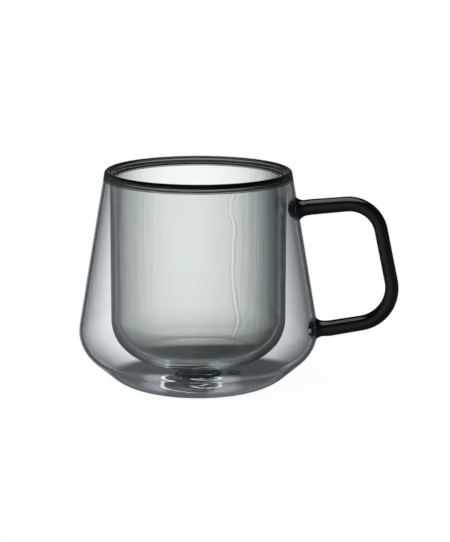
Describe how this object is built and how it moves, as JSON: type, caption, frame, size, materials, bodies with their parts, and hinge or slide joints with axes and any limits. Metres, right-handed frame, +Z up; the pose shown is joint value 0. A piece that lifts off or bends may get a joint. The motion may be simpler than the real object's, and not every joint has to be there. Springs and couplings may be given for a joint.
{
  "type": "double walled glass cup",
  "caption": "Double walled glass cup: a straight inner cup hangs from a rounded rim inside a sloping outer shell, with a dark drawn glass handle on one side.",
  "frame": {"origin": "middle of the ring the cup stands on, at table level", "axes": "+Z up along the cup's axis and out of its mouth, +X out to the handle, +Y to the left of someone who looks along +X"},
  "size_m": [0.138, 0.1034, 0.0935],
  "materials": {
    "shell_glass": "clear, fire polished",
    "cup_glass": "smoke tinted, fire polished",
    "rim_glass": "smoke tinted, melted round",
    "handle_glass": "near black, drawn and glossy",
    "seal_glass": "clear, rippled",
    "vent_silicone": "matt silicone"
  },
  "bodies": {
    "root": {"outer_shell": "shell_glass", "inner_cup": "cup_glass", "rim_bead": "rim_glass", "handle": "handle_glass", "upper_handle_collar": "handle_glass", "lower_handle_collar": "handle_glass", "base_seal": "seal_glass", "vent_plug": "vent_silicone"}
  },
  "joints": []
}
